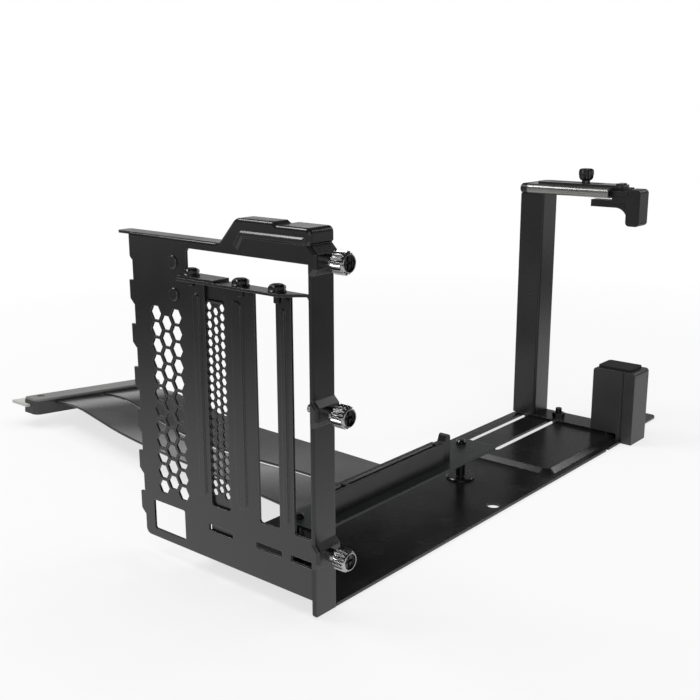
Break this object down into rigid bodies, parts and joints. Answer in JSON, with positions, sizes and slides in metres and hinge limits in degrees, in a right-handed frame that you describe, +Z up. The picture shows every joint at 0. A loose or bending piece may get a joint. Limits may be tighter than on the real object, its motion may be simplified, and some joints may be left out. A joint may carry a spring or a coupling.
{
  "type": "vertical gpu mount",
  "caption": "Black steel stand that holds a graphics card upright: slotted vented bracket with handle and thumbscrews, base tray, riser socket with flat ribbon, and rear clamp arm.",
  "frame": {"origin": "on the floor under the middle of the mount, the ribbon and plug left out", "axes": "+X from the slot panel toward the rear support, +Y toward the motherboard side where the ribbon leaves, +Z up"},
  "size_m": [0.3564, 0.344, 0.1669],
  "materials": {
    "coated_sheet": "satin black powder coat",
    "cover_sheet": "satin black powder coat",
    "coated_base": "semi-gloss black coat",
    "coated_rivet": "satin black",
    "black_screw": "bright black plated steel",
    "circuit_board": "black solder mask",
    "socket_plastic": "moulded black plastic",
    "contact_metal": "gold plated",
    "ribbon": "glossy dark grey film",
    "plug_body": "moulded black plastic",
    "plug_cover": "light grey plastic",
    "plug_card": "pale board with gilt edge",
    "arm_metal": "satin black anodised",
    "hook_plastic": "satin black plastic",
    "pad_rubber": "soft black rubber"
  },
  "bodies": {
    "mount": {"io_bracket": "coated_sheet", "slot_cover": "cover_sheet", "slot_screws": "black_screw", "thumbscrews": "black_screw", "panel_rivets": "coated_rivet", "base_tray": "coated_base", "base_rivets": "coated_rivet", "board_standoffs": "black_screw", "riser_board": "circuit_board", "board_screws": "black_screw", "riser_socket": "socket_plastic", "socket_contacts": "contact_metal", "ribbon_boot": "socket_plastic", "riser_ribbon_near": "ribbon", "riser_ribbon_far": "ribbon", "riser_plug_body": "plug_body", "riser_plug_cover": "plug_cover", "riser_plug_card": "plug_card", "plug_screws": "black_screw", "support_foot": "coated_base", "support_spine": "coated_sheet", "foot_screws": "black_screw", "foot_nuts": "black_screw", "arm_tube": "arm_metal", "arm_end_cap": "hook_plastic", "arm_screws": "black_screw", "clamp_knob": "black_screw", "cradle_block": "hook_plastic", "cradle_pad": "pad_rubber"},
    "hook": {"slide_hook": "hook_plastic", "guide_strip": "coated_sheet", "strip_rivets": "coated_rivet"}
  },
  "joints": [
    {"name": "hook_slide", "type": "slide", "parent": "mount", "child": "hook", "axis": [0, -1, 0], "range_m": [0, 0.015]}
  ]
}
